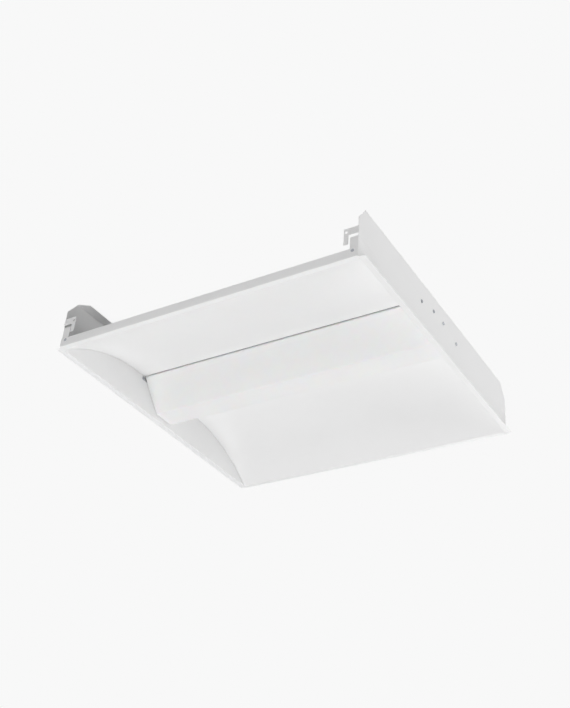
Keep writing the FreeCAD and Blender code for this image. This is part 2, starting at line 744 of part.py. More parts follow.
keep("tray_bushing", tray_bushing())
for front in (-1, 1):
    keep("output_leads_red", output_lead(front, output_port_y[0], bushing_lead_x, red_bushing_y))
    keep("output_leads_black", output_lead(front, output_port_y[1], -bushing_lead_x, black_bushing_y))
socket_x = disconnect_x + disconnect_size[0]
keep("disconnect_plug", disconnect_half((disconnect_x, socket_x), disconnect_x))
keep("disconnect_socket", disconnect_half((socket_x, socket_x + socket_length), socket_x + socket_length))
keep("supply_lead_black", lead(supply_route(input_port_y[0], disconnect_port_y()[0]), lead_radius))
keep("supply_lead_white", lead(supply_route(input_port_y[1], disconnect_port_y()[1]), lead_radius))
keep("earth_lead_green", lead(earth_route(), lead_radius))
keep("earth_terminal", earth_terminal())
keep("earth_screw", pan_screw(earth_at + (tray_top + sheet,), (0, 0, -1), earth_head_radius, earth_head_height,
                              earth_screw_radius, earth_screw_length))


# ---- basket -------------------------------------------------------------------------------------------------------
def basket_side_y(z, inset):
    """How far from the middle the basket's sloping side is at a height, inset square to itself."""
    outside = basket_bottom_half + (z - basket_bottom) / math.tan(basket_slope)
    return outside - inset / math.sin(basket_slope)


def basket_outline(inset, top):
    """Half of the trough at an inset: top of the flange, the shoulder, then the bottom corner."""
    flange_y = basket_top_half - inset
    shoulder = basket_shoulder + inset * (1 / math.cos(basket_slope) - math.tan(basket_slope))
    floor = basket_bottom + inset
    return [(-flange_y, top), (-flange_y, shoulder), (-basket_side_y(floor, inset), floor)]


def basket_diffuser():
    """Extruded frosted trough: sloping sides, upright flanges and a hem turned in from each."""
    under_hem = basket_top - basket_wall
    hem_y = basket_top_half - basket_hem
    outer = mirrored(basket_outline(0, basket_top))
    inner = mirrored([(-hem_y, basket_top), (-hem_y, under_hem)] + basket_outline(basket_wall, under_hem))
    body = along_x(outer + inner[::-1], (-cap_in_x, cap_in_x))
    corners = [edge for edge in body.Edges if is_bottom_corner(edge)]
    return body.makeFillet(basket_edge_radius, corners)


def is_bottom_corner(edge):
    """Whether an edge runs along one of the basket's two outer bottom corners."""
    middle = edge.CenterOfMass
    low = abs(middle.z - basket_bottom) < hole_fit
    return low and abs(abs(middle.y) - basket_bottom_half) < hole_fit


def basket_end_cap(side):
    """Moulded cap: closes the trough, plugs into it and carries the pivot ear."""
    outer = side * cap_out_x
    inner = side * cap_in_x
    hem_y = basket_top_half - basket_hem
    ears = [(-hem_y, basket_shoulder), (-hem_y, basket_top)]
    plate = along_x(mirrored(ears + basket_outline(0, basket_top)), (inner, outer))
    corners = [edge for edge in plate.Edges if is_bottom_corner(edge)]
    plate = plate.makeFillet(basket_edge_radius, corners)
    near_inset = basket_wall + skirt_fit
    far_inset = near_inset + skirt_wall
    skirt_top = basket_top - basket_wall - skirt_fit
    outside = mirrored(basket_outline(near_inset, skirt_top))
    inside = mirrored(basket_outline(far_inset, skirt_top))
    skirt = along_x(outside + inside[::-1], (inner, inner - side * skirt_depth))
    ear = rod(pivot_ear_radius, (inner,) + pivot, (outer,) + pivot)
    body = joined(plate, skirt, ear)
    body = body.cut(rod(pivot_radius + pivot_fit, (inner - side,) + pivot, (outer + side,) + pivot))
    dimple = catch_bump_at()
    floor = outer - side * catch_relief
    relief = block((outer, floor), (-basket_top_half, dimple[0] + 2 * dimple_radius + catch_clearance),
                   (catch_screw[1] - head_radius - catch_clearance, basket_top))
    return body.cut(relief).cut(rod(dimple_radius, (floor - side * dimple_depth,) + dimple, (floor,) + dimple))


def catch_bump_at():
    """Where the catch's bump meets the end cap, as (y, z)."""
    y = -basket_side_y(catch_screw[1], 0) + 2 * dimple_radius
    return (y, catch_screw[1])


def catch_spring(side):
    """Spring leaf on the end plate, with a bump that faces the basket's end cap."""
    face = side * plate_in_x
    leaf_face = face - side * catch_leaf
    bump = catch_bump_at()
    tip = face - side * (cap_gap + catch_relief - catch_bump_gap)
    leaf = block((face, leaf_face), (catch_screw[0] - head_radius, bump[0] + 2 * dimple_radius),
                 (catch_screw[1] - head_radius, catch_screw[1] + head_radius))
    body = joined(leaf, taper(dimple_radius, dimple_radius / 2, (leaf_face,) + bump, (tip,) + bump))
    return body.cut(rod(shank_radius + hole_fit, (face,) + catch_screw, (leaf_face,) + catch_screw))


def basket_rail(front):
    """Angle that stiffens a hem: a leaf on top of it and a leg down its free edge."""
    hem_y = basket_top_half - basket_hem
    leg_face = front * hem_y
    leg_back = front * (hem_y - rail_sheet)
    top = basket_top + rail_sheet
    outline = [(leg_back, top), (leg_back, basket_top - rail_leg), (leg_face, basket_top - rail_leg),
               (leg_face, basket_top), (front * (hem_y + rail_lap - skirt_wall), basket_top),
               (front * (hem_y + rail_lap - skirt_wall), top)]
    half_length = cap_in_x - skirt_depth - skirt_fit
    return along_x(outline, (-half_length, half_length))


def pivot_pin(side):
    """Headed pin through the end plate into the basket's end cap."""
    outer = side * plate_out_x
    head = pan_screw((outer,) + pivot, (-side, 0, 0), head_radius, head_height, pivot_radius,
                     sheet + cap_gap + cap_thickness - dimple_depth)
    return head


keep("basket_diffuser", basket_diffuser())
for front, row in ((-1, "near"), (1, "far")):
    keep("basket_rail_" + row, basket_rail(front))
for side, end in ((-1, "left"), (1, "right")):
    keep("basket_end_cap_" + end, basket_end_cap(side))
    keep("basket_pivot_pin_" + end, pivot_pin(side))
    keep("catch_spring_" + end, catch_spring(side))
    for place in (catch_screw,) + tray_screws_at:
        keep("end_plate_screws", pan_screw((side * plate_out_x,) + place, (-side, 0, 0)))


# ---- one STEP file for each node ------------------------------------------------------------------------------------
os.makedirs("parts", exist_ok=True)
for name, solids in NODES.items():
    shape = solids[0] if len(solids) == 1 else Part.makeCompound(solids)
    shape.exportStep("parts/%s.step" % name)
    print(name, len(solids), "valid" if shape.isValid() else "NOT VALID", "%.1f mm3" % shape.Volume)
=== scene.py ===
import math
import bmesh
import bpy
import numpy as np
from mathutils import Matrix, Vector


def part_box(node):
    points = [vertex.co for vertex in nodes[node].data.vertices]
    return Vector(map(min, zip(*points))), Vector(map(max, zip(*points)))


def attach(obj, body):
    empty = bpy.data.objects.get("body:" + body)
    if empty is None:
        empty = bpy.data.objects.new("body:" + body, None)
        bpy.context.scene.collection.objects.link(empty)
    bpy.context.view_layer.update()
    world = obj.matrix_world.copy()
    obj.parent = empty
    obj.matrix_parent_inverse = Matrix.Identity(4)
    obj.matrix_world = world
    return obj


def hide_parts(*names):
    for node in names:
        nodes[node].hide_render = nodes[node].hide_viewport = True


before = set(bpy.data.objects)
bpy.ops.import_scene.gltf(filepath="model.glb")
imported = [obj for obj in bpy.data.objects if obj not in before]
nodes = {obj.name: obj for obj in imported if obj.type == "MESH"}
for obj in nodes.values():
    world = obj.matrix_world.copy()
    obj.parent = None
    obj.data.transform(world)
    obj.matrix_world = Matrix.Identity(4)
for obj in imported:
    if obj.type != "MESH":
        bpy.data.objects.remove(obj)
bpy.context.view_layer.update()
scene = bpy.context.scene

# ---- camera -------------------------------------------------------------------------------------
# The light hangs with its opening downwards, and the camera looks up at it from below its near
# right corner, 1.9 m away and rolled a few degrees.
focal_length = 54.68                            # mm, on a sensor of 36 mm along the longer side
camera_place = Vector((0.9015, -1.4085, -0.993))
camera_aim = Vector((0.054, -0.1154, 0.0))      # where the line of sight meets the ceiling plane
camera_roll = math.radians(4.4)

camera = bpy.data.objects.new("camera", bpy.data.cameras.new("camera"))
camera.data.lens = focal_length
sight = (camera_aim - camera_place).to_track_quat("-Z", "Y").to_matrix().to_4x4()
roll = Matrix.Rotation(camera_roll, 4, "Z")
camera.matrix_world = Matrix.Translation(camera_place) @ sight @ roll
scene.collection.objects.link(camera)
scene.camera = camera
scene.view_settings.view_transform = "Standard"


# ---- studio -------------------------------------------------------------------------------------
# A pale floor 2.4 m below, an even pale surround whose light fades out above the horizon, and
# large soft lamps. The camera, reflections and glass see the surround as its own colour.
def linear(hexcode, alpha=1.0):
    """sRGB hex colour as linear red, green, blue and alpha."""
    srgb = np.array([int(hexcode[i:i + 2], 16) for i in (1, 3, 5)]) / 255
    rgb = np.where(srgb <= 0.04045, srgb / 12.92, ((srgb + 0.055) / 1.055) ** 2.4)
    return (*rgb.tolist(), alpha)


def add_node(tree, kind, inputs=None, **settings):
    """Adds a shader node with its settings. An input is a value, or another node's output."""
    made = tree.nodes.new("ShaderNode" + kind)
    for name, value in settings.items():
        setattr(made, name, value)
    for name, value in (inputs or {}).items():
        if isinstance(value, bpy.types.NodeSocket):
            tree.links.new(value, made.inputs[name])
        else:
            made.inputs[name].default_value = value
    return made


surround_colour = linear("#F8F8F8")
surround_level = 0.30
surround_fade = 0.45            # the light fades out over this much of the direction's height
floor_drop = 2.4
floor_half = 60.0
floor_plain = 0.92              # share that the camera sees plain, the rest keeps light and shadow

world = bpy.data.worlds.new("studio")
scene.world = world
world.use_nodes = True
tree = world.node_tree
tree.nodes.clear()
rays = add_node(tree, "LightPath")
seen = add_node(tree, "Math", {0: rays.outputs["Is Camera Ray"], 1: rays.outputs["Is Glossy Ray"]},
                operation="MAXIMUM")
seen = add_node(tree, "Math", {0: seen.outputs[0], 1: rays.outputs["Is Transmission Ray"]},
                operation="MAXIMUM")
direction = add_node(tree, "SeparateXYZ", {0: add_node(tree, "TexCoord").outputs["Generated"]})
strength = add_node(tree, "MapRange", {"Value": direction.outputs["Z"], "From Max": surround_fade,
                                       "To Min": surround_level, "To Max": 0.0},
                    interpolation_type="SMOOTHSTEP")
lighting = add_node(tree, "Background", {"Color": (1, 1, 1, 1), "Strength": strength.outputs[0]})
backdrop = add_node(tree, "Background", {"Color": surround_colour, "Strength": 1.0})
both = add_node(tree, "MixShader", {0: seen.outputs[0], 1: lighting.outputs[0],
                                    2: backdrop.outputs[0]})
add_node(tree, "OutputWorld", {"Surface": both.outputs[0]})

floor_mesh = bpy.data.meshes.new("floor")
floor_mesh.from_pydata([(x * floor_half, y * floor_half, -floor_drop) for x, y in
                        ((-1, -1), (1, -1), (1, 1), (-1, 1))], [], [(0, 1, 2, 3)])
floor = bpy.data.objects.new("floor", floor_mesh)
scene.collection.objects.link(floor)
# Matt paper: it keeps the object's shadow, and to the camera it is nearly its plain colour.
paper = bpy.data.materials.new("matt_paper_backdrop")
paper.use_nodes = True
tree = paper.node_tree
tree.nodes.clear()
rays = add_node(tree, "LightPath")
diffuse = add_node(tree, "BsdfDiffuse", {"Color": surround_colour})
glow = add_node(tree, "Emission", {"Color": surround_colour, "Strength": 1.0})
plain = add_node(tree, "Math", {0: rays.outputs["Is Camera Ray"], 1: floor_plain},
                 operation="MULTIPLY")
both = add_node(tree, "MixShader", {0: plain.outputs[0], 1: diffuse.outputs[0],
                                    2: glow.outputs[0]})
add_node(tree, "OutputMaterial", {"Surface": both.outputs[0]})
floor_mesh.materials.append(paper)

# Square lamps aimed at the light: name, place and side in metres, and watts. Reflections leave
# the last one out, because it would burn out the bare zinc in its mirror direction.
lamps = (("lamp_below", (0.0, 0.0, -2.2), 4.0, 23.2),
         ("lamp_below_near", (0.0, -1.6, -2.0), 1.6, 23.9),
         ("lamp_near", (0.2, -2.8, 0.1), 0.9, 18.2),
         ("lamp_right", (2.8, 0.3, -0.1), 0.9, 38.0),
         ("lamp_left", (-2.6, 0.0, -0.8), 1.8, 16.3),
         ("lamp_far", (0.0, 2.6, -0.9), 1.8, 26.0),
         ("lamp_above_right", (2.0, -0.5, 1.6), 1.8, 7.7),
         ("lamp_above_far", (-1.4, 1.8, 2.0), 1.8, 40.0))
for name, place, side, watts in lamps:
    lamp = bpy.data.objects.new(name, bpy.data.lights.new(name, "AREA"))
    lamp.data.size = side
    lamp.data.energy = watts
    lamp.visible_camera = False
    lamp.visible_glossy = name != "lamp_above_far"
    lamp.location = place
    lamp.rotation_euler = (-Vector(place)).to_track_quat("-Z", "Y").to_euler()
    scene.collection.objects.link(lamp)

# ---- end plates ---------------------------------------------------------------------------------
# Each is one blank of 0.8 mm sheet steel with folds on all four sides: a ceiling flange outwards,
# a return inwards along the top, and two corner tabs. It is powder coated white after folding.
mm = 0.001
near, far, left, right = -1, 1, -1, 1
sheet = 0.8
fold_outside = 1.2              # radius on the outside of a fold
fold_inside = fold_outside - sheet
end_flange = 10.3
flange_setback = 3.5
plate_chamfer_y = 21.0
plate_chamfer_z = 28.5
return_mitre = 12.0
return_fold = 0.8
tab_low = 1.3
tab_top = 40.0
tab_width = 14.8
tab_relief = 0.3
sheet_columns = 9               # points along a sheet's straight direction
edge_softness = 0.16            # bevel on sheared edges, rounded by the coating
edge_angle = math.radians(40)   # a sharper turn than this is an edge
merge_distance = 1e-4
corner_screw_inset = 9.5        # screws through lip and tab at the four corners
corner_screw_z = 13.0
sink_radius = 3.1
sink_depth = 1.4
sink_bore = 1.9
sink_reach = 2.6
sink_clear = 1.0                # the cutter stands this far out of the lip
screw_columns = 40
first_turn = 0.7                # radians by which the first screw's cross is turned
further_turn = 1.9              # and each later one further than the one before
mix_factor, mix_a, mix_b, mix_result = 0, 6, 7, 2       # the colour mix node's sockets


def extent(node):
    """A frame piece's lowest and highest corners, in millimetres."""
    return [np.array(corner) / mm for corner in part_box(node)]


def placed(x, y, z):
    """Grid of points from their x, y and z, each a number or an array."""
    return np.stack(np.broadcast_arrays(x, y, z), -1)


def bend(before, corner, after, radius, steps=6):
    """Arc that rounds a corner between two straight runs: from its centre, the unit vectors to the
    two tangent points are blended by sin((1 - k) a) / sin(a) and sin(k a) / sin(a)."""
    before, corner, after = (np.array(point, float) for point in (before, corner, after))
    back = (before - corner) / np.linalg.norm(before - corner)
    onward = (after - corner) / np.linalg.norm(after - corner)
    half = math.acos(np.clip(back @ onward, -1, 1)) / 2
    reach = radius / math.tan(half)
    middle = (back + onward) / np.linalg.norm(back + onward)
    centre = corner + middle * radius / math.sin(half)
    first, last = (corner + run * reach - centre for run in (back, onward))
    turn = math.pi - 2 * half
    k = np.linspace(0, 1, steps + 1)[:, None]
    return centre + (np.sin((1 - k) * turn) * first + np.sin(k * turn) * last) / math.sin(turn)


def surface(name, *grids):
    """Mesh from grids of points in millimetres. A face joins points (i, j), (i + 1, j),
    (i + 1, j + 1) and (i, j + 1) of its grid, and points that meet are merged."""
    faces = []
    count = 0
    for grid in grids:
        index = np.arange(grid.shape[0] * grid.shape[1]).reshape(grid.shape[:2]) + count
        quads = np.stack([index[:-1, :-1], index[1:, :-1], index[1:, 1:], index[:-1, 1:]], -1)
        faces.append(quads.reshape(-1, 4))
        count += index.size
    points = np.concatenate([grid.reshape(-1, 3) for grid in grids]) * mm
    mesh = bpy.data.meshes.new(name)
    mesh.from_pydata(points.tolist(), [], np.concatenate(faces).tolist())
    work = bmesh.new()
    work.from_mesh(mesh)
    bmesh.ops.remove_doubles(work, verts=work.verts, dist=merge_distance * mm)
    bmesh.ops.dissolve_degenerate(work, edges=work.edges, dist=merge_distance * mm)
    work.to_mesh(mesh)
    work.free()
    mesh.shade_smooth()
    piece = bpy.data.objects.new(name, mesh)
    scene.collection.objects.link(piece)
    return piece


def modify(piece, kind, **settings):
    """Adds a modifier with its settings."""
    modifier = piece.modifiers.new(kind.lower(), kind)
    for name, value in settings.items():
        setattr(modifier, name, value)


def give_wall(piece, wall, softness, *cutters):
    """Solid wall behind a surface, away from its outward side, with holes where there are cutters
    and with every sharp edge rounded a little."""
    modify(piece, "SOLIDIFY", thickness=wall * mm, offset=-1, use_even_offset=True)
    for cutter in cutters:
        modify(piece, "BOOLEAN", object=cutter, operation="DIFFERENCE", solver="EXACT")
    if cutters:
        evaluated = piece.evaluated_get(bpy.context.evaluated_depsgraph_get())
        piece.data = bpy.data.meshes.new_from_object(evaluated)
        piece.modifiers.clear()
    modify(piece, "BEVEL", width=softness * mm, segments=2, limit_method="ANGLE",
           angle_limit=edge_angle, use_clamp_overlap=False, harden_normals=True)


def turned(outline):
    """Radius, height and angle of the points of a surface turned from an outline, whose last
    column lies on its first."""
    angle = np.linspace(0, 2 * math.pi, screw_columns + 1)
    radius, height = (np.repeat(values[:, None], angle.size, 1) for values in outline.T)
    return radius, height, angle


def seated(shape, places):
    """Copies of a turned shape, one at each place: its axis points outwards from its seat, and
    each copy is turned further round it, as screws come to rest."""
    grids = []
    for count, (seat, outward) in enumerate(places):
        facing = Vector(outward).to_track_quat("Z", "Y").to_matrix()
        spin = Matrix.Rotation(first_turn + further_turn * count, 3, "Z")
        grids.append(shape @ np.array(facing @ spin).T + np.array(seat))
    return grids


def countersinks(places):
    """Closed cutters (r cos a, r sin a, h) whose radius shrinks from the mouth to the bore."""
    radius, height, angle = turned(np.array([
        (0, sink_clear), (sink_radius + sink_clear, sink_clear), (sink_radius, 0),
        (sink_bore, -sink_depth), (sink_bore, -sink_reach), (0, -sink_reach)]))
    shape = placed(radius * np.cos(angle), radius * np.sin(angle), height)
    cutter = surface("countersinks", *seated(shape, places))
    cutter.hide_render = True
    return cutter


def new_material(name):
    """Empty material with its node tree and the Object coordinates."""
    material = bpy.data.materials.new(name)
    material.use_nodes = True
    material.node_tree.nodes.clear()
    return material, material.node_tree, add_node(material.node_tree, "TexCoord").outputs["Object"]


def fit(piece, material, body, slot, *replaced):
    """Finishes a new piece: its material, the body that it rides on and the node that it stands
    for. The slot argument is not used."""
    piece.data.materials.append(material)
    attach(piece, body)
    if replaced:
        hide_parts(*replaced)


def dress(material, *names):
    """Gives pieces of the frame their material."""
    for name in names:
        nodes[name].data.materials.clear()
        nodes[name].data.materials.append(material)


def end_plate(side, node):
    """Sheet whose rows follow one path in x and z: flange, fold, plate, fold, return. Each row
    runs in y from -w to w, where w is the plate's half-length less the mitres and chamfers passed
    so far. Each tab is the same rows carried on round a quarter bend."""
    low, high = extent(node)
    edge = high[1]
    top = high[2] - sheet
    return_tip, flange_tip = sorted(np.abs([low[0], high[0]]))
    face = flange_tip - end_flange - sheet
    shoulder = high[2] - plate_chamfer_z
    path = np.vstack([[(flange_tip, 0)],
                      bend((flange_tip, 0), (face, 0), (face, top), fold_outside),
                      [(face, tab_low), (face, tab_top), (face, tab_top + tab_relief),
                       (face, shoulder)],
                      bend((face, 0), (face, top), (return_tip, top), return_fold),
                      [(return_tip, top)]])
    x, z = path.T
    half = (edge - flange_setback * np.clip((x - face) / (flange_tip - face), 0, 1)
            - plate_chamfer_y * np.clip((z - shoulder) / (top - shoulder), 0, 1)
            - return_mitre * np.clip((face - x) / (face - return_tip), 0, 1))
    beside_tab = (x == face) & (z >= tab_low) & (z <= tab_top)
    half[beside_tab] = edge - sheet - fold_inside
    across = np.linspace(-1, 1, sheet_columns)
    grids = [placed(side * x[:, None], side * half[:, None] * across, z[:, None])]
    corner = (face, edge - sheet)
    tab_tip = (face + sheet - tab_width, edge - sheet)
    tab = np.vstack([bend((face, 0), corner, tab_tip, fold_inside), [tab_tip]])
    for front in (near, far):
        tab_grid = placed(side * tab[:, 0], front * tab[:, 1], z[beside_tab][:, None])
        grids.append(tab_grid if front == side else tab_grid[:, ::-1])
    return surface(node + "_sheet", *grids)


# Polyester powder coat over steel, sprayed dry and baked: an even satin white whose faint orange
# peel, about 1.5 mm from crest to crest, softens every reflection. It is the same on all the
# white sheet metal.
peel_size = 1.5
peel_height = 0.012
patch_size = 90.0
powder_coat, tree, place = new_material("white_powder_coat_on_steel")
patches = add_node(tree, "TexNoise", {"Vector": place, "Scale": 1 / (patch_size * mm),
                                      "Detail": 3.0})
tint = add_node(tree, "Mix", {mix_factor: patches.outputs["Fac"], mix_a: linear("#F2F2F2"),
                              mix_b: linear("#EFEFEF")}, data_type="RGBA")
peel = add_node(tree, "TexNoise", {"Vector": place, "Scale": 1 / (peel_size * mm), "Detail": 1.0})
relief = add_node(tree, "Bump", {"Height": peel.outputs["Fac"], "Distance": peel_height * mm})
satin = add_node(tree, "MapRange", {"Value": patches.outputs["Fac"], "To Min": 0.38,
                                    "To Max": 0.46})
shader = add_node(tree, "BsdfPrincipled", {
    "Base Color": tint.outputs[mix_result], "IOR": 1.5, "Roughness": satin.outputs[0],
    "Normal": relief.outputs[0]})
add_node(tree, "OutputMaterial", {"Surface": shader.outputs[0]})

plate_outer_x = np.abs(extent("end_plate_right")[1][0]) - end_flange
plate_inner_x = plate_outer_x - sheet
lip_y = np.abs(extent("reflector_wing_far")[1][1])
corner_places = [((side * (plate_outer_x - corner_screw_inset), front * lip_y, corner_screw_z),
                  (0, front, 0)) for side in (left, right) for front in (near, far)]
corner_sinks = countersinks(corner_places)
for side, end in ((left, "left"), (right, "right")):
    node = "end_plate_" + end
    plate = end_plate(side, node)
    give_wall(plate, sheet, edge_softness, corner_sinks)
    fit(plate, powder_coat, "housing", "white_painted_steel", node)

# ---- reflector wings ----------------------------------------------------------------------------
# Each is one long folded and rolled sheet: a lip outside, the narrow ceiling flange, the curved
# reflector, a level crown and an upstand beside the channel. Powder coated like the end plates.
lip_height = 17.0
wing_flat = 9.5
wing_rise = 68.0
crown_flat = 14.7
wing_upstand = 15.0
crown_edge = 72.3               # from the middle of the light
crown_fold = 3.0                # rolled edge beside the basket
flange_fold = 3.0               # radius where the curve leaves the ceiling flange
curve_steps = 40
lip_end_x = plate_outer_x       # the lip covers the end plate's edge, the rest stops inside it
wing_end_x = plate_inner_x - 0.15


def reflector_wing(front, node):
    """Sheet swept along x. Its path, by distance s from the outer face and height z, goes down the
    lip, along the flange, up the arc s = s0 + R sin a, z = rise - R (1 - cos a), along the crown
    and up the upstand."""
    outer_y = np.abs([corner[1] for corner in extent(node)]).max()
    inner_s = outer_y - crown_edge
    crown_s = inner_s - crown_flat
    run = crown_s - wing_flat
    radius = (run ** 2 + wing_rise ** 2) / (2 * wing_rise)
    angle = np.linspace(-math.asin(run / radius), 0, curve_steps + 1)
    curve = np.stack([crown_s + radius * np.sin(angle),
                      wing_rise - radius * (1 - np.cos(angle))], -1)
    lip_top, lip_foot = (0, lip_height), (0, 0)
    crown_end, upstand_top = (inner_s, wing_rise), (inner_s, wing_rise + wing_upstand)
    path = np.vstack([[lip_top],
                      bend(lip_top, lip_foot, curve[0], fold_outside),
                      bend(lip_foot, curve[0], curve[1], flange_fold),
                      curve[1:],
                      bend(curve[-1], crown_end, upstand_top, crown_fold),
                      [upstand_top]])
    s, z = path.T
    on_lip = s < 1e-6
    half = np.where(on_lip, lip_end_x, wing_end_x)
    across = -front * np.linspace(-1, 1, sheet_columns)
    grid = placed(half[:, None] * across, front * (outer_y - s[:, None]), z[:, None])
    return surface(node + "_sheet", grid)


for front, row in ((near, "near"), (far, "far")):
    node = "reflector_wing_" + row
    wing = reflector_wing(front, node)
    give_wall(wing, sheet, edge_softness, corner_sinks)
    fit(wing, powder_coat, "housing", "white_painted_steel", node)
bpy.data.objects.remove(corner_sinks)

# ---- grid clips ---------------------------------------------------------------------------------
# Four hooks cut from the end plates' corners. Each is bent out by hand over a ceiling tee: a bar
# with a leg hanging from its tip, and a hole for a hanger wire.
clip_leg = 8.0
clip_bar = 13.2
clip_corner = 0.8
clip_inner_corner = 0.6
clip_step = 1.0                 # longest step along the outline, so that the hole comes out round
clip_rings = 4
bend_relief = 0.1               # the hook's root stays clear of the plate's edge as it bends
tie_hole_radius = 2.5


def grid_clip(side, front, node):
    """Flat hook as a surface between two closed curves, (1 - t) hole + t outline: the tie hole's
    circle, taken at the angles at which it sees the outline, and the hook's rounded outline."""
    low, high = extent(node)
    root, tip = sorted(np.abs([low[0], high[0]]), reverse=True)
    root -= bend_relief
    inner_x = tip + clip_leg
    bar_low = high[2] - clip_bar
    corners = [(root, high[2]), (tip, high[2]), (tip, low[2]), (inner_x, low[2]),
               (inner_x, bar_low), (root, bar_low)]
    radii = [clip_corner] * 4 + [clip_inner_corner, clip_corner]
    turns = zip(corners[-1:] + corners[:-1], corners, corners[1:] + corners[:1], radii)
    outline = np.vstack([bend(before, corner, after, radius, steps=4)
                         for before, corner, after, radius in turns])
    runs = [(start, end, 1 + math.ceil(np.linalg.norm(end - start) / clip_step))
            for start, end in zip(outline, np.roll(outline, -1, 0))]
    outline = np.vstack([np.linspace(start, end, count, endpoint=False)
                         for start, end, count in runs])
    outline = np.vstack([outline, outline[:1]])
    hole = np.array([tip + clip_leg / 2, bar_low + clip_bar / 2])
    spoke = outline - hole
    circle = hole + tie_hole_radius * spoke / np.linalg.norm(spoke, axis=1)[:, None]
    t = np.linspace(0, 1, clip_rings)[:, None, None]
    flat = (1 - t) * circle + t * outline
    face_y = front * np.abs([low[1], high[1]]).max()
    grid = placed(side * flat[..., 0], face_y, flat[..., 1])
    return surface(node + "_hook", grid[:, ::-1] if side == front else grid)


for side, end in ((left, "left"), (right, "right")):
    for front, row in ((near, "near"), (far, "far")):
        node = "grid_clip_%s_%s" % (row, end)
        clip = grid_clip(side, front, node)
        give_wall(clip, sheet, edge_softness)
        fit(clip, powder_coat, "clip_%s_%s" % (row, end), "white_painted_steel", node)

# ---- screws of the housing ----------------------------------------------------------------------
# Steel screws, bright zinc plated: flat heads sunk in the lips at the four corners, and pan heads
# that fasten the end plates, the wings and the covers. The heads are cold formed with a cross.
flat_head_screw = (3.0, 0.0, 1.75, 8.0)         # head radius and height, shank radius, length
sheet_screw = (3.2, 2.0, 1.75, 5.0)
plate_screw_seats = ((-76.0, 62.4), (-28.0, 72.0), (12.0, 72.0))        # y and z
wing_screw_x = (-220.0, -75.0, 75.0, 220.0)
wing_screw_z = 79.8
head_rings = 22
rim_rings = 6
rim_start = 0.2                 # radians from the axis at which a pan head's rim begins
pan_crown = 0.2                 # share of a pan head's height that its crown takes
flat_head_edge = 0.1
point_length = 0.4
point_taper = 0.6
cross_arm = 1.9
cross_half_width = 0.45
cross_depth = 1.0
cross_wall = 0.35
thread_pitch = 1.1
thread_depth = 0.28
rows_per_pitch = 6


def screw_outline(head_radius, head_height, shank_radius, length, countersunk):
    """Radius and height of a screw's outline, from the middle of its head round to its tip, and
    the rows at which the head's top ends and the shank starts."""
    if countersunk:
        top = [(r, 0.0) for r in np.linspace(0, head_radius - flat_head_edge, head_rings)]
        rim = [(head_radius, -flat_head_edge), (shank_radius, -sink_depth + flat_head_edge)]
        start = -sink_depth
    else:
        crown = head_height * pan_crown
        round_off = head_height / 2
        dome = head_radius - round_off
        top = [(r, head_height - crown * (r / dome) ** 2) for r in np.linspace(0, dome, head_rings)]
        rim = [(dome + round_off * math.sin(a), round_off - crown + round_off * math.cos(a))
               for a in np.linspace(rim_start, math.pi / 2, rim_rings)]
        rim += [(head_radius, 0.0), (shank_radius, 0.0)]
        start = 0.0
    rows = int((length + start) / (thread_pitch / rows_per_pitch))
    shank = [(shank_radius, h) for h in np.linspace(start, -length + point_length, rows)]
    point = [(shank_radius * point_taper, -length), (0, -length)]
    return np.array(top + rim + shank + point), len(top), len(top) + len(rim)


def screw_grids(places, head_radius, head_height, shank_radius, length, countersunk=False,
                cross=True):
    """Screws as surfaces of revolution, (r cos a, r sin a, h). The head's height drops inside a
    plus shape for the driver, and the shank's radius follows a helix,
    |2 frac(h / pitch - a / 2 pi) - 1|."""
    outline, top_end, shank_start = screw_outline(head_radius, head_height, shank_radius, length,
                                                  countersunk)
    radius, height, angle = turned(outline)
    ridge = np.abs(2 * ((height / thread_pitch - angle / (2 * math.pi)) % 1) - 1)
    on_shank = np.zeros_like(radius)
    on_shank[shank_start + 1:-2] = thread_depth
    radius = radius - on_shank * ridge
    x, y = radius * np.cos(angle), radius * np.sin(angle)
    arms = np.minimum(np.maximum(np.abs(x) - cross_arm, np.abs(y) - cross_half_width),
                      np.maximum(np.abs(y) - cross_arm, np.abs(x) - cross_half_width))
    sunk = np.clip(-arms / cross_wall, 0, 1) * cross_depth
    sunk[top_end:] = 0
    return seated(placed(x, y, height - sunk * cross), places)


def upright_seat(node, head_height):
    """Place of an upright screw: the middle of its solid, its head's height below the top."""
    low, high = extent(node)
    return [((*((low + high) / 2)[:2], high[2] - head_height), (0, 0, 1))]


# Metal plate, passivated: pale, with a soft sheen, slightly duller where the plating tank left
# it thin. Its tone and gloss drift over a couple of millimetres.
def plated_steel(name, bright, dull, smooth, rough):
    """Plated metal between two tones and two roughnesses."""
    cloud_size = 2.5
    cloud_height = 0.02
    material, tree, place = new_material(name)
    cloud = add_node(tree, "TexNoise", {"Vector": place, "Scale": 1 / (cloud_size * mm),
                                        "Detail": 3.0})
    tint = add_node(tree, "Mix", {mix_factor: cloud.outputs["Fac"], mix_a: linear(bright),
                                  mix_b: linear(dull)}, data_type="RGBA")
    gloss = add_node(tree, "MapRange", {"Value": cloud.outputs["Fac"], "To Min": smooth,
                                        "To Max": rough})
    relief = add_node(tree, "Bump", {"Height": cloud.outputs["Fac"],
                                     "Distance": cloud_height * mm})
    shader = add_node(tree, "BsdfPrincipled", {
        "Base Color": tint.outputs[mix_result], "Metallic": 1.0, "Roughness": gloss.outputs[0],
        "Normal": relief.outputs[0]})
    add_node(tree, "OutputMaterial", {"Surface": shader.outputs[0]})
    return material


bright_zinc = plated_steel("bright_zinc_plated_steel", "#B5B8BD", "#9A9DA3", 0.28, 0.42)

corner_screws = surface("corner_screws_flat_head",
                        *screw_grids(corner_places, *flat_head_screw, countersunk=True))
fit(corner_screws, bright_zinc, "housing", "zinc_plated_screw", "corner_screws")

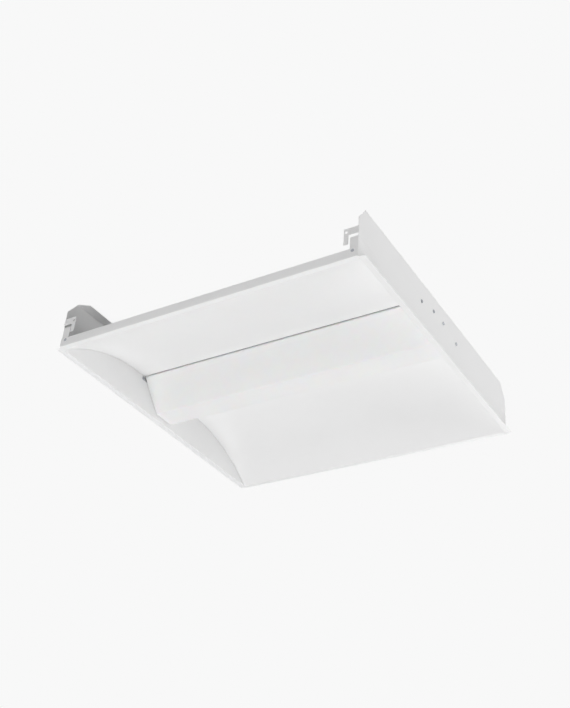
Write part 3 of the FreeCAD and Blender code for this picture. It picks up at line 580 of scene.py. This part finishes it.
plate_screw_places = [((side * plate_outer_x, y, z), (side, 0, 0))
                      for side in (left, right) for y, z in plate_screw_seats]
plate_screws = surface("end_plate_screws_pan_head", *screw_grids(plate_screw_places, *sheet_screw))
fit(plate_screws, bright_zinc, "housing", "zinc_plated_screw", "end_plate_screws")

wing_screw_places = [((x, front * (crown_edge + sheet), wing_screw_z), (0, front, 0))
                     for front in (near, far) for x in wing_screw_x]
wing_screws = surface("wing_screws_pan_head", *screw_grids(wing_screw_places, *sheet_screw))
fit(wing_screws, bright_zinc, "housing", "zinc_plated_screw", "wing_screws")

# ---- centre channel and wiring cover ------------------------------------------------------------
# An inverted U of hot-dip galvanised sheet between the wings, punched for the conduit, the
# knockouts and the access opening, and a flat hinged cover of the same sheet.

# Zinc freezes on the sheet in spangles some 9 mm across, each with its own grey and its own gloss,
# under a fine even roughness left by rolling.
spangle_size = 9.0
rolled_size = 0.8
rolled_height = 0.008
galvanised, tree, place = new_material("hot_dip_galvanised_steel")
spangle = add_node(tree, "TexVoronoi", {"Vector": place, "Scale": 1 / (spangle_size * mm),
                                        "Randomness": 1.0})
shade = add_node(tree, "SeparateColor", {"Color": spangle.outputs["Color"]})
tint = add_node(tree, "Mix", {mix_factor: shade.outputs["Red"], mix_a: linear("#C2C6C9"),
                              mix_b: linear("#A9AEB2")}, data_type="RGBA")
gloss = add_node(tree, "MapRange", {"Value": shade.outputs["Green"], "To Min": 0.34,
                                    "To Max": 0.5})
rolled = add_node(tree, "TexNoise", {"Vector": place, "Scale": 1 / (rolled_size * mm),
                                     "Detail": 2.0})
relief = add_node(tree, "Bump", {"Height": rolled.outputs["Fac"], "Distance": rolled_height * mm})
shader = add_node(tree, "BsdfPrincipled", {
    "Base Color": tint.outputs[mix_result], "Metallic": 1.0, "Roughness": gloss.outputs[0],
    "Normal": relief.outputs[0]})
add_node(tree, "OutputMaterial", {"Surface": shader.outputs[0]})
dress(galvanised, "centre_channel", "wiring_cover")
dress(bright_zinc, "cover_hinge_pin")

cover_screw = surface("cover_screw_pan_head",
                      *screw_grids(upright_seat("cover_screw", sheet_screw[1]), *sheet_screw))
fit(cover_screw, bright_zinc, "wiring_cover", "zinc_plated_screw", "cover_screw")

# ---- tray and light boards ----------------------------------------------------------------------
# A white tray across the channel carries two long printed boards on its underside. Each board has
# a row of thirty small light sources, a connector and four screws.
dress(powder_coat, "led_tray")

# White solder mask over glass-epoxy laminate: slightly glossy, with the copper tracks showing as
# faint raised lines under it, 6 mm apart.
track_spacing = 6.0
track_edges = (0.55, 0.62)      # where a track's edge rises, as a share of the spacing
track_height = 0.05
solder_mask, tree, place = new_material("white_solder_mask_on_laminate")
axes = add_node(tree, "SeparateXYZ", {0: place})
stripe = add_node(tree, "Math", {0: axes.outputs["Y"], 1: 1 / (track_spacing * mm)},
                  operation="MULTIPLY")
stripe = add_node(tree, "Math", {0: stripe.outputs[0], 1: 1.0}, operation="PINGPONG")
track = add_node(tree, "MapRange", {"Value": stripe.outputs[0], "From Min": track_edges[0],
                                    "From Max": track_edges[1]})
tint = add_node(tree, "Mix", {mix_factor: track.outputs[0], mix_a: linear("#F3F4F1"),
                              mix_b: linear("#E4E6E0")}, data_type="RGBA")
relief = add_node(tree, "Bump", {"Height": track.outputs[0], "Distance": track_height * mm})
shader = add_node(tree, "BsdfPrincipled", {
    "Base Color": tint.outputs[mix_result], "Roughness": 0.3, "IOR": 1.5,
    "Normal": relief.outputs[0]})
add_node(tree, "OutputMaterial", {"Surface": shader.outputs[0]})
dress(solder_mask, "led_board_near", "led_board_far")

# Phosphor in clear silicone, cast into the cup of a white package: a saturated, slightly granular
# yellow with a wet gloss.
phosphor_grain = 0.4
phosphor, tree, place = new_material("yellow_phosphor_in_silicone")
grain = add_node(tree, "TexNoise", {"Vector": place, "Scale": 1 / (phosphor_grain * mm),
                                    "Detail": 2.0})
tint = add_node(tree, "Mix", {mix_factor: grain.outputs["Fac"], mix_a: linear("#EBC94F"),
                              mix_b: linear("#D9B03A")}, data_type="RGBA")
shader = add_node(tree, "BsdfPrincipled", {
    "Base Color": tint.outputs[mix_result], "Roughness": 0.22, "IOR": 1.41,
    "Subsurface Weight": 0.3, "Subsurface Scale": 0.5 * mm})
add_node(tree, "OutputMaterial", {"Surface": shader.outputs[0]})

# Filled white polyamide, moulded: the packages' bodies, opaque and almost matt.
polyamide_grain = 0.6
polyamide_relief = 0.01
package_white, tree, place = new_material("white_moulded_polyamide")
grain = add_node(tree, "TexNoise", {"Vector": place, "Scale": 1 / (polyamide_grain * mm),
                                    "Detail": 2.0})
relief = add_node(tree, "Bump", {"Height": grain.outputs["Fac"],
                                 "Distance": polyamide_relief * mm})
shader = add_node(tree, "BsdfPrincipled", {"Base Color": linear("#F1F1EC"), "Roughness": 0.5,
                                           "Normal": relief.outputs[0]})
add_node(tree, "OutputMaterial", {"Surface": shader.outputs[0]})

led_count = 30
led_pitch = 16.0
led_length, led_width, led_height = 3.5, 2.8, 0.7
led_bevel = 0.1
cup_radius = 1.1
cup_floor = 0.5
lens_back, lens_rim, lens_top = 0.55, 0.62, 0.69
lens_shoulder = (0.6, 0.67)     # share of the cup's radius, and height
boxy, circular = 0.25, 1.0      # the superellipse's power
package_turns = 16
half_length, half_width = led_length / 2, led_width / 2
body_rings = ((0, 0, circular, 0.0), (half_length, half_width, boxy, 0.0),
              (half_length, half_width, boxy, led_height - led_bevel),
              (half_length - led_bevel, half_width - led_bevel, boxy, led_height),
              (cup_radius + led_bevel, cup_radius + led_bevel, circular, led_height),
              (cup_radius, cup_radius, circular, lens_rim), (0, 0, circular, cup_floor))
lens_rings = ((0, 0, circular, lens_back), (cup_radius, cup_radius, circular, lens_rim),
              (cup_radius * lens_shoulder[0], cup_radius * lens_shoulder[0], circular,
               lens_shoulder[1]), (0, 0, circular, lens_top))


def package_grid(rings):
    """Rings (a cos^p, b sin^p) at height h below the board. The body's go from the middle of its
    seat round to its cup's floor, and the lens's from its underside to its crown."""
    angle = np.linspace(0, 2 * math.pi, package_turns + 1) + math.pi / package_turns
    c, s = np.cos(angle), np.sin(angle)
    return np.array([placed(a * np.sign(c) * np.abs(c) ** p, b * np.sign(s) * np.abs(s) ** p, -h)
                     for a, b, p, h in rings])


for row in ("near", "far"):
    low, high = extent("led_packages_" + row)
    led_start = low[0] + half_length
    seats = [(led_start + k * led_pitch, (low[1] + high[1]) / 2, high[2])
             for k in range(led_count)]
    body = surface("led_package_bodies_" + row, *[package_grid(body_rings) + seat
                                                  for seat in seats])
    fit(body, package_white, "housing", "white_nylon", "led_packages_" + row)
    lens = surface("led_phosphor_" + row, *[package_grid(lens_rings) + seat for seat in seats])
    fit(lens, phosphor, "housing", "phosphor_led")

small_screw = (2.8, 1.8, 1.5, 6.0)
screw_from_left_end = 18.0
screw_from_right_end = 10.0
screws_between_leds = (8.5, 19.5)
board_low, board_high = extent("led_board_far")
board_screw_x = [screw_from_left_end - board_high[0],
                 *(led_start + k * led_pitch for k in screws_between_leds),
                 board_high[0] - screw_from_right_end]
board_places = [((x, front * (board_low[1] + board_high[1]) / 2, board_low[2]), (0, 0, -1))
                for front in (near, far) for x in board_screw_x]
board_screws = surface("board_screws_pan_head", *screw_grids(board_places, *small_screw))
fit(board_screws, bright_zinc, "housing", "zinc_plated_screw", "board_screws")


# Nylon, injection moulded: an even colour with a fine matt grain from the tool, a little glossier
# where it was polished.
def moulded_nylon(name, colour):
    """Plastic with a fine matt grain."""
    grain_size = 0.5
    grain_height = 0.015
    material, tree, place = new_material(name)
    grain = add_node(tree, "TexNoise", {"Vector": place, "Scale": 1 / (grain_size * mm),
                                        "Detail": 2.0})
    relief = add_node(tree, "Bump", {"Height": grain.outputs["Fac"],
                                     "Distance": grain_height * mm})
    gloss = add_node(tree, "MapRange", {"Value": grain.outputs["Fac"], "To Min": 0.42,
                                        "To Max": 0.55})
    shader = add_node(tree, "BsdfPrincipled", {
        "Base Color": linear(colour), "IOR": 1.53, "Roughness": gloss.outputs[0],
        "Normal": relief.outputs[0]})
    add_node(tree, "OutputMaterial", {"Surface": shader.outputs[0]})
    return material


dress(moulded_nylon("white_moulded_nylon", "#ECEBE6"), "board_connectors")

# ---- driver -------------------------------------------------------------------------------------
# The power supply: a folded steel case with a light grey enamel, open below and filled with black
# potting compound, on a galvanised base. Each end has a push-in terminal of grey nylon.

# Baked enamel: a thin glossy paint with a slight orange peel.
enamel_peel = 1.2
enamel_relief = 0.015
driver_enamel, tree, place = new_material("light_grey_baked_enamel")
peel = add_node(tree, "TexNoise", {"Vector": place, "Scale": 1 / (enamel_peel * mm),
                                   "Detail": 1.0})
relief = add_node(tree, "Bump", {"Height": peel.outputs["Fac"], "Distance": enamel_relief * mm})
shader = add_node(tree, "BsdfPrincipled", {"Base Color": linear("#E3E4E6"), "Roughness": 0.35,
                                           "Normal": relief.outputs[0]})
add_node(tree, "OutputMaterial", {"Surface": shader.outputs[0]})
dress(driver_enamel, "driver_case")
dress(galvanised, "driver_base")

# Cast bitumen-like compound: black, with a low wavy gloss where it set.
potting_wave = 8.0
potting_relief = 0.3
potting, tree, place = new_material("black_potting_compound")
wave = add_node(tree, "TexNoise", {"Vector": place, "Scale": 1 / (potting_wave * mm),
                                   "Detail": 2.0})
relief = add_node(tree, "Bump", {"Height": wave.outputs["Fac"], "Distance": potting_relief * mm})
shader = add_node(tree, "BsdfPrincipled", {"Base Color": linear("#1B1B1C"), "Roughness": 0.35,
                                           "Normal": relief.outputs[0]})
add_node(tree, "OutputMaterial", {"Surface": shader.outputs[0]})
dress(potting, "driver_potting")
dress(moulded_nylon("grey_moulded_nylon", "#8E9092"), "driver_output_terminal",
      "driver_input_terminal")

foot_inset = 5.0
foot_low, foot_high = extent("driver_base")
driver_places = [((x, 0, foot_high[2]), (0, 0, 1))
                 for x in (foot_low[0] + foot_inset, foot_high[0] - foot_inset)]
driver_screws = surface("driver_screws_pan_head", *screw_grids(driver_places, *small_screw))
fit(driver_screws, bright_zinc, "housing", "zinc_plated_screw", "driver_screws")


# ---- bushing, leads, disconnect and earth -------------------------------------------------------
# Stranded copper leads in coloured PVC run from the driver through a black bushing to the boards,
# to an amber two-pole disconnect and to a tinned terminal under a green earth screw.
def pvc_insulation(name, colour):
    """Extruded plasticised PVC: smooth and a little waxy, with faint drag marks from the die."""
    drag_size = 0.9
    drag_height = 0.01
    material, tree, place = new_material(name)
    drag = add_node(tree, "TexNoise", {"Vector": place, "Scale": 1 / (drag_size * mm),
                                       "Detail": 1.0})
    relief = add_node(tree, "Bump", {"Height": drag.outputs["Fac"], "Distance": drag_height * mm})
    shader = add_node(tree, "BsdfPrincipled", {
        "Base Color": linear(colour), "Roughness": 0.38, "IOR": 1.53,
        "Normal": relief.outputs[0]})
    add_node(tree, "OutputMaterial", {"Surface": shader.outputs[0]})
    return material


dress(pvc_insulation("black_pvc_insulation", "#171717"), "output_leads_black", "supply_lead_black")
dress(pvc_insulation("red_pvc_insulation", "#B0201A"), "output_leads_red")
dress(pvc_insulation("white_pvc_insulation", "#E6E5E0"), "supply_lead_white")
dress(pvc_insulation("green_pvc_insulation", "#1E7A38"), "earth_lead_green")
dress(moulded_nylon("black_moulded_nylon", "#18181A"), "tray_bushing")
dress(moulded_nylon("amber_moulded_nylon", "#CF8A30"), "disconnect_plug", "disconnect_socket")
dress(plated_steel("tin_plated_copper", "#C6C3BC", "#AFACA6", 0.3, 0.42), "earth_terminal")

earth_screw_size = (3.6, 2.4, 2.0, 8.0)
earth_seat = upright_seat("earth_screw", earth_screw_size[1])
earth_screw = surface("earth_screw_pan_head", *screw_grids(earth_seat, *earth_screw_size))
green_zinc = plated_steel("green_passivated_zinc", "#3C8A50", "#2E7440", 0.3, 0.42)
fit(earth_screw, green_zinc, "housing", "green_screw", "earth_screw")

# ---- basket -------------------------------------------------------------------------------------
# The diffuser: one extruded length of frosted acrylic, a trough with sloping sides, upright
# flanges and a hem turned in along each. It swings down on two pins at its far top edge.
basket_wall = 2.0
basket_softness = 0.3
basket_bottom_half = 23.3
basket_flange = 4.5
basket_hem = 9.0
bottom_radius = 4.5
shoulder_radius = 2.4
hem_radius = 2.3
trough_columns = 13

low, high = extent("basket_diffuser")
half_outline = [(high[1] - basket_hem, high[2]), (high[1], high[2]),
                (high[1], high[2] - basket_flange), (basket_bottom_half, low[2])]
corners = [(-y, z) for y, z in half_outline] + half_outline[::-1]
half_radii = [hem_radius, shoulder_radius, bottom_radius]
# The profile's corners become arcs, and each of its points is carried along x.
arcs = [bend(*corners[k:k + 3], radius, steps=8)
        for k, radius in enumerate(half_radii + half_radii[::-1])]
profile = np.vstack([corners[:1], *arcs, corners[-1:]])
along = np.linspace(low[0], high[0], trough_columns)
diffuser = surface("basket_diffuser_trough", placed(along, profile[:, :1], profile[:, 1:]))
give_wall(diffuser, basket_wall, basket_softness)

# Frosted acrylic, extruded with a diffusing pigment: milky right through, so light bleeds a
# little way past edges, under a fine matt skin.
haze_size = 60.0
frost_grain = 0.9
frost_height = 0.01
frosted_acrylic, tree, place = new_material("frosted_acrylic_extruded")
haze = add_node(tree, "TexNoise", {"Vector": place, "Scale": 1 / (haze_size * mm), "Detail": 2.0})
tint = add_node(tree, "Mix", {mix_factor: haze.outputs["Fac"], mix_a: linear("#F3F3F3"),
                              mix_b: linear("#F0F0F0")}, data_type="RGBA")
frost = add_node(tree, "TexNoise", {"Vector": place, "Scale": 1 / (frost_grain * mm),
                                    "Detail": 2.0})
relief = add_node(tree, "Bump", {"Height": frost.outputs["Fac"], "Distance": frost_height * mm})
shader = add_node(tree, "BsdfPrincipled", {
    "Base Color": tint.outputs[mix_result], "Roughness": 0.45, "IOR": 1.49,
    "Subsurface Weight": 0.25, "Subsurface Scale": 1.5 * mm, "Normal": relief.outputs[0]})
add_node(tree, "OutputMaterial", {"Surface": shader.outputs[0]})
fit(diffuser, frosted_acrylic, "basket", "frosted_acrylic", "basket_diffuser")
dress(galvanised, "basket_rail_near", "basket_rail_far")

# ---- basket's end caps, pins and catches --------------------------------------------------------
# Caps moulded in white polycarbonate plug into the trough's ends. A headed pin through each end
# plate is their hinge, and a spring leaf beside each cap's near corner holds them shut.

# Polycarbonate, moulded in a spark-eroded tool, which leaves a fine even matt grain.
spark_grain = 0.7
spark_height = 0.012
cap_plastic, tree, place = new_material("white_moulded_polycarbonate")
spark = add_node(tree, "TexNoise", {"Vector": place, "Scale": 1 / (spark_grain * mm),
                                    "Detail": 2.0})
relief = add_node(tree, "Bump", {"Height": spark.outputs["Fac"], "Distance": spark_height * mm})
shader = add_node(tree, "BsdfPrincipled", {
    "Base Color": linear("#F1F1F1"), "Roughness": 0.45, "IOR": 1.58,
    "Normal": relief.outputs[0]})
add_node(tree, "OutputMaterial", {"Surface": shader.outputs[0]})
dress(cap_plastic, "basket_end_cap_left", "basket_end_cap_right")
dress(plated_steel("bright_rolled_spring_steel", "#C6C8CB", "#B2B5B9", 0.3, 0.42),
      "catch_spring_left", "catch_spring_right")

pin_head_radius, pin_head_height, pin_radius = 3.2, 2.0, 2.0
for side, end in ((left, "left"), (right, "right")):
    node = "basket_pivot_pin_" + end
    low, high = extent(node)
    seat = (side * plate_outer_x, *((low + high) / 2)[1:])
    pin_length = high[0] - low[0] - pin_head_height
    pin = surface("pivot_pin_%s_headed" % end,
                  *screw_grids([(seat, (side, 0, 0))], pin_head_radius, pin_head_height,
                               pin_radius, pin_length, cross=False))
    fit(pin, bright_zinc, "housing", "zinc_plated_screw", node)
